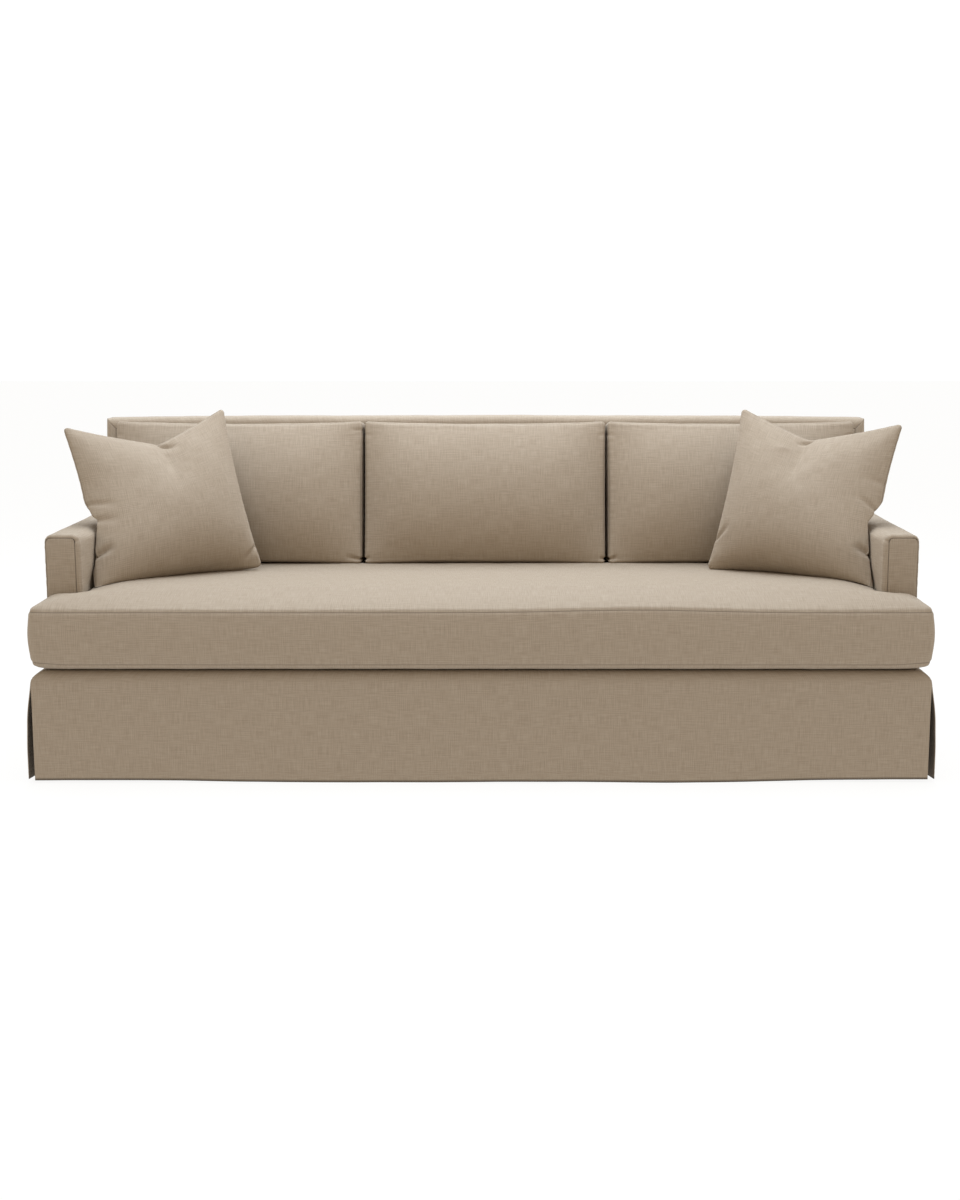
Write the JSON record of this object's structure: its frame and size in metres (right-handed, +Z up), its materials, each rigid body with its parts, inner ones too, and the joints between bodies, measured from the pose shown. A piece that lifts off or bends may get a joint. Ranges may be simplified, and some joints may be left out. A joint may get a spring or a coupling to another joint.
{
  "type": "sofa slipcover",
  "caption": "Fitted linen cover for a track-arm sofa: hollow arms, back, deck and floor-length skirt, with its bench seat cushion, loose back cushions and throw pillows",
  "frame": {"origin": "on the floor, under the middle of the cover's footprint", "axes": "+X along the sofa towards the sitter's left, +Y from the seat's front to the back, +Z up"},
  "size_m": [2.4848, 1.067, 0.9802],
  "materials": {
    "linen": "plain woven heavy linen, taupe, with slubs"
  },
  "bodies": {
    "root": {"deck": "linen", "arm_wrap_left": "linen", "arm_wrap_right": "linen", "arm_front_left": "linen", "arm_front_right": "linen", "back_inside": "linen", "back_outside": "linen", "back_band_top": "linen", "back_band_left": "linen", "back_band_right": "linen", "skirt_front": "linen", "skirt_left": "linen", "skirt_right": "linen", "skirt_back": "linen", "pleat_insert_front_left": "linen", "pleat_insert_front_right": "linen", "pleat_insert_rear_left": "linen", "pleat_insert_rear_right": "linen", "seat_cushion": "linen", "back_cushion_left": "linen", "back_cushion_middle": "linen", "back_cushion_right": "linen", "throw_pillow_left": "linen", "throw_pillow_right": "linen"}
  },
  "joints": []
}
